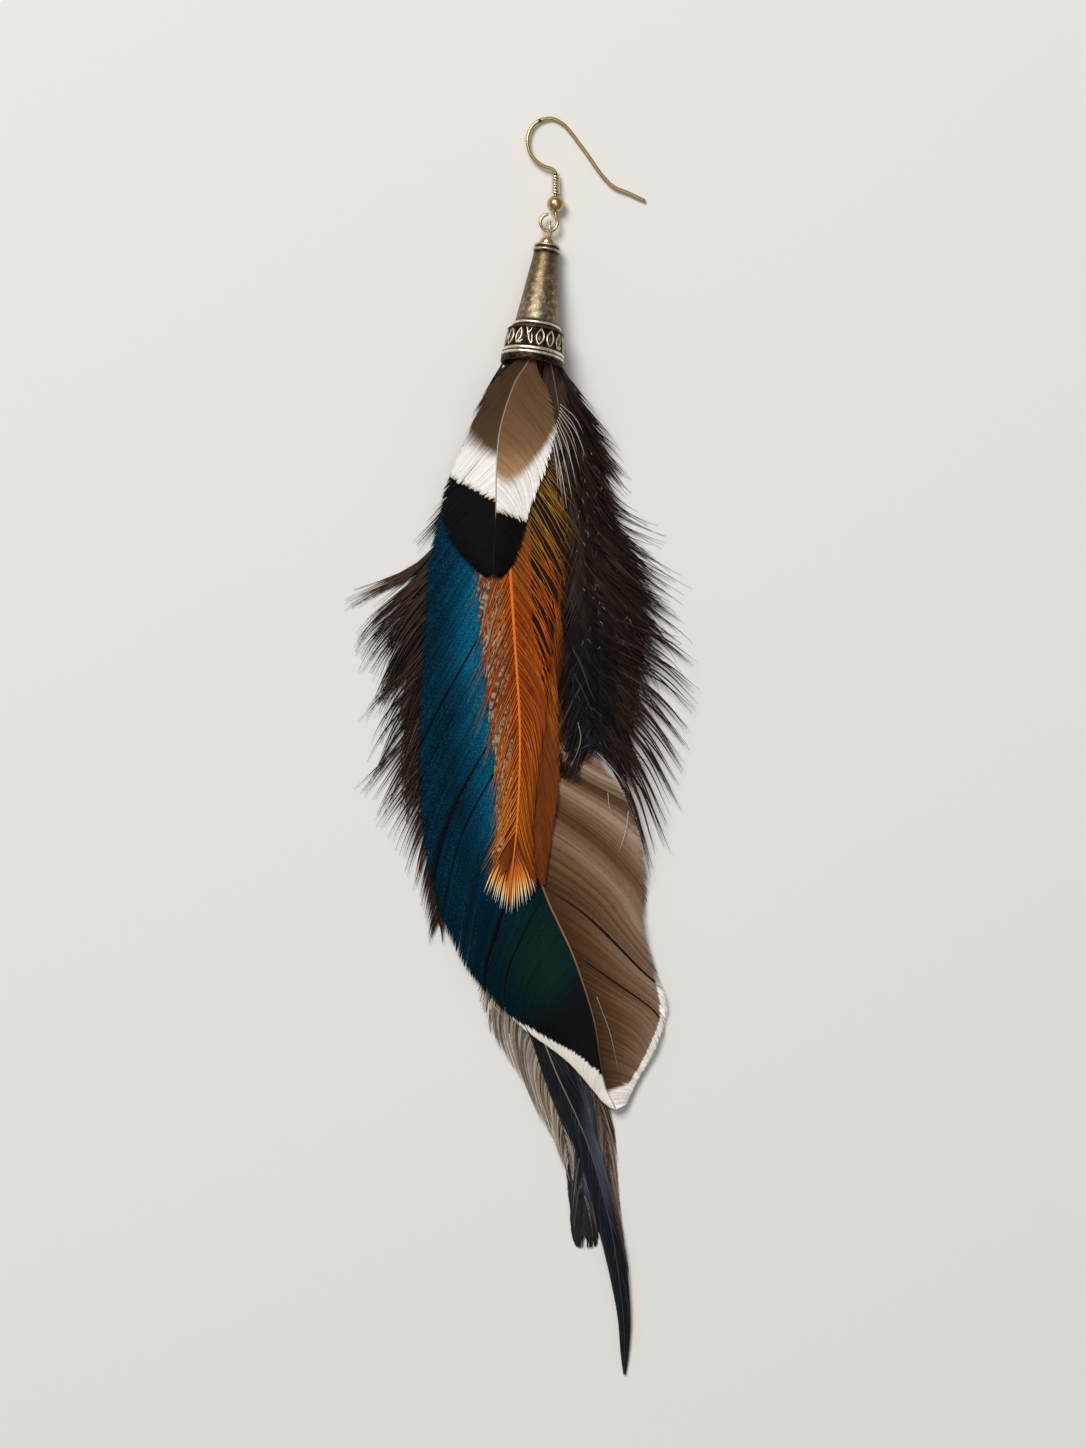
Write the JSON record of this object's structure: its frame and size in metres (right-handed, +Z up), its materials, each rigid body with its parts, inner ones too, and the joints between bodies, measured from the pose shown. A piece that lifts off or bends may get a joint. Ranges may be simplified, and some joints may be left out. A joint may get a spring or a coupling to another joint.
{
  "type": "feather earring",
  "caption": "Long drop earring: dyed and natural bird feathers held by a brass end cap, which swings on a bent ear wire with a coil and a bead.",
  "frame": {"origin": "on the surface the earring lies on, under the middle of its outline", "axes": "+Y runs along the earring from the feather tips to the ear wire, +Z is up from the surface, +X completes the right-handed set"},
  "size_m": [0.0582, 0.214, 0.011],
  "materials": {
    "polished_brass": "rubbed brass, bright on its high places",
    "antique_brass": "cast brass with dark recesses and worn ridges",
    "slate_vane": "slate-black feather vane with a soft sheen",
    "brown_vane": "brown barred feather vane",
    "grey_vane": "grey-brown feather vane with pale barbs",
    "dark_plume": "brown-black fluffy plume",
    "blue_vane": "iridescent blue-green vane beside a taupe vane, white tipped",
    "rust_vane": "dyed orange-rust hackle with cream tips",
    "banded_vane": "taupe feather with a white band and a black tip"
  },
  "bodies": {
    "drop": {"end_cap": "antique_brass", "dome_bead": "polished_brass", "eye_pin": "polished_brass", "blunt_dark_feather": "slate_vane", "brown_striped_feather": "brown_vane", "grey_striped_feather": "grey_vane", "long_dark_feather": "slate_vane", "left_plume": "dark_plume", "speculum_feather": "blue_vane", "right_plume": "dark_plume", "back_hackle": "rust_vane", "front_hackle": "rust_vane", "small_grey_feather": "grey_vane", "banded_covert": "banded_vane"},
    "hook": {"ear_wire": "polished_brass", "wire_coil": "polished_brass", "ball_bead": "polished_brass"}
  },
  "joints": [
    {"name": "ear_wire_swing", "type": "hinge", "parent": "drop", "child": "hook", "pos_m": [0.004, 0.08925, 0.00181], "axis": [0.0742, 0.0801, 0.994], "range_deg": [-90, 90]}
  ]
}
